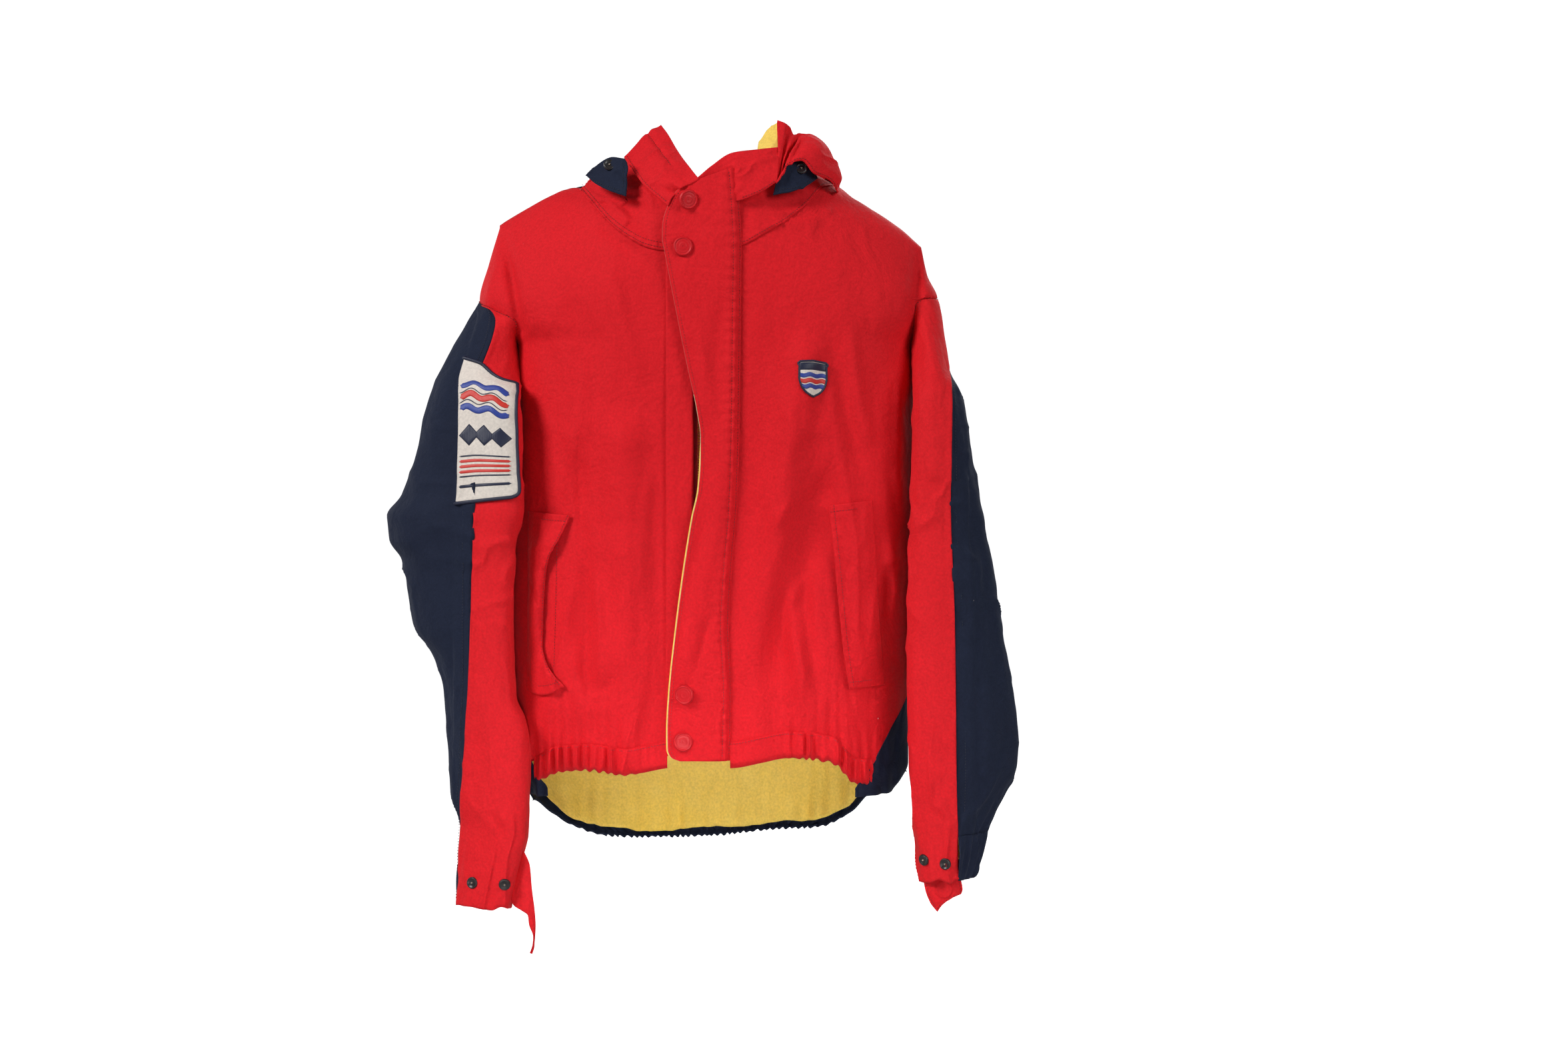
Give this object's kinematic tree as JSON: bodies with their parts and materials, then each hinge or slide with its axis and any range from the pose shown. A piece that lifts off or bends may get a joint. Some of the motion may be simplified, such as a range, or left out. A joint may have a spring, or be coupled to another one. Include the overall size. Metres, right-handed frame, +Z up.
{
  "type": "foul weather jacket",
  "caption": "Lined sailing jacket hanging empty: zip under a snapped storm flap, stowed hood in the collar, dropped sleeves, flapped hand pockets, gathered hem and cuffs.",
  "frame": {"origin": "centre of the back neck, at the height where the shoulders are held by what it hangs on", "axes": "+Z up, front of the jacket faces -Y, +X to the wearer's left"},
  "size_m": [0.6487, 0.2083, 0.8472],
  "materials": {
    "red_cloth": "matte poplin",
    "sleeve_red": "matte poplin",
    "navy_cloth": "matte poplin",
    "yellow_lining": "smooth thin lining",
    "red_snap": "enamelled cap",
    "dark_stud": "dark enamel, worn ring",
    "zip_tape": "woven tape",
    "zip_parts": "moulded",
    "patch_cloth": "embroidered twill",
    "badge_cloth": "embroidered"
  },
  "bodies": {
    "root": {"back_panel": "navy_cloth", "back_lining": "yellow_lining", "front_panel_right": "red_cloth", "front_panel_left": "red_cloth", "front_lining_right": "yellow_lining", "front_lining_left": "yellow_lining", "neck_yoke_right": "red_cloth", "neck_yoke_left": "red_cloth", "hem_band_right": "red_cloth", "hem_band_left": "red_cloth", "hem_band_back": "navy_cloth", "side_gusset_right": "navy_cloth", "side_gusset_left": "navy_cloth", "pocket_bag_right": "yellow_lining", "pocket_bag_left": "yellow_lining", "zip_tape_right": "zip_tape", "zip_tape_left": "zip_tape", "zip_teeth_right": "zip_parts", "zip_teeth_left": "zip_parts", "under_placket": "red_cloth", "placket_stud_1": "dark_stud", "placket_stud_2": "dark_stud", "placket_stud_3": "dark_stud", "placket_stud_4": "dark_stud", "collar_right": "red_cloth", "collar_left": "red_cloth", "collar_back": "red_cloth", "rolled_hood": "red_cloth", "hood_tab_right": "navy_cloth", "hood_tab_left": "navy_cloth", "hood_stud_right": "dark_stud", "hood_stud_left": "dark_stud", "chest_badge": "badge_cloth"},
    "storm_flap": {"storm_flap": "red_cloth", "storm_flap_facing": "yellow_lining", "snap_cap_1": "red_snap", "snap_cap_2": "red_snap", "snap_cap_3": "red_snap", "snap_cap_4": "red_snap"},
    "zip_slider": {"zip_slider": "zip_parts"},
    "zip_pull": {"zip_pull": "zip_parts"},
    "pocket_flap_right": {"pocket_flap_right": "red_cloth"},
    "pocket_flap_left": {"pocket_flap_left": "red_cloth"},
    "sleeve_right": {"sleeve_front_right": "sleeve_red", "sleeve_back_right": "navy_cloth", "cuff_gather_right": "navy_cloth", "sleeve_lining_right": "yellow_lining", "cuff_stud_right_1": "dark_stud", "cuff_stud_right_2": "dark_stud", "sleeve_patch": "patch_cloth"},
    "sleeve_left": {"sleeve_front_left": "sleeve_red", "sleeve_back_left": "navy_cloth", "cuff_gather_left": "navy_cloth", "sleeve_lining_left": "yellow_lining", "cuff_stud_left_1": "dark_stud", "cuff_stud_left_2": "dark_stud"},
    "cuff_tab_right": {"cuff_tab_right": "sleeve_red"},
    "cuff_tab_left": {"cuff_tab_left": "sleeve_red"},
    "collar_cover_left": {"collar_cover_left": "red_cloth"},
    "hang_loop": {"hang_loop": "navy_cloth"}
  },
  "joints": [
    {"name": "storm_flap_hinge", "type": "hinge", "parent": "root", "child": "storm_flap", "pos_m": [0.037, -0.0965, -0.3], "axis": [0, 0, 1], "range_deg": [0, 150]},
    {"name": "zip_slide", "type": "slide", "parent": "root", "child": "zip_slider", "axis": [0, 0, 1], "range_m": [-0.455, 0.04]},
    {"name": "zip_pull_hinge", "type": "hinge", "parent": "zip_slider", "child": "zip_pull", "pos_m": [-0.008, -0.0893, -0.0985], "axis": [-1, 0, 0], "range_deg": [0, 8]},
    {"name": "pocket_flap_right_hinge", "type": "hinge", "parent": "root", "child": "pocket_flap_right", "pos_m": [-0.185, -0.0629, -0.3351], "axis": [0.0054, 0.0162, -0.9999], "range_deg": [0, 60]},
    {"name": "pocket_flap_left_hinge", "type": "hinge", "parent": "root", "child": "pocket_flap_left", "pos_m": [0.167, -0.071, -0.3263], "axis": [-0.0579, -0.0631, 0.9963], "range_deg": [0, 90]},
    {"name": "sleeve_right_swing", "type": "hinge", "parent": "root", "child": "sleeve_right", "pos_m": [-0.236, 0, -0.112], "axis": [0, 1, 0], "range_deg": [0, 40]},
    {"name": "sleeve_left_swing", "type": "hinge", "parent": "root", "child": "sleeve_left", "pos_m": [0.236, 0, -0.112], "axis": [0, -1, 0], "range_deg": [0, 40]},
    {"name": "cuff_tab_right_hinge", "type": "hinge", "parent": "sleeve_right", "child": "cuff_tab_right", "pos_m": [-0.184, -0.079, -0.701], "axis": [-1, 0, 0], "range_deg": [0, 60]},
    {"name": "cuff_tab_left_hinge", "type": "hinge", "parent": "sleeve_left", "child": "cuff_tab_left", "pos_m": [0.237, -0.085, -0.7165], "axis": [-1, 0, 0], "range_deg": [0, 60]},
    {"name": "collar_cover_lift", "type": "hinge", "parent": "root", "child": "collar_cover_left", "pos_m": [0.079, -0.042, 0.048], "axis": [-0.7402, -0.5719, 0.3536], "range_deg": [0, 50]},
    {"name": "hang_loop_swing", "type": "hinge", "parent": "root", "child": "hang_loop", "pos_m": [0, 0.07, -0.027], "axis": [-1, 0, 0], "range_deg": [0, 80]}
  ]
}
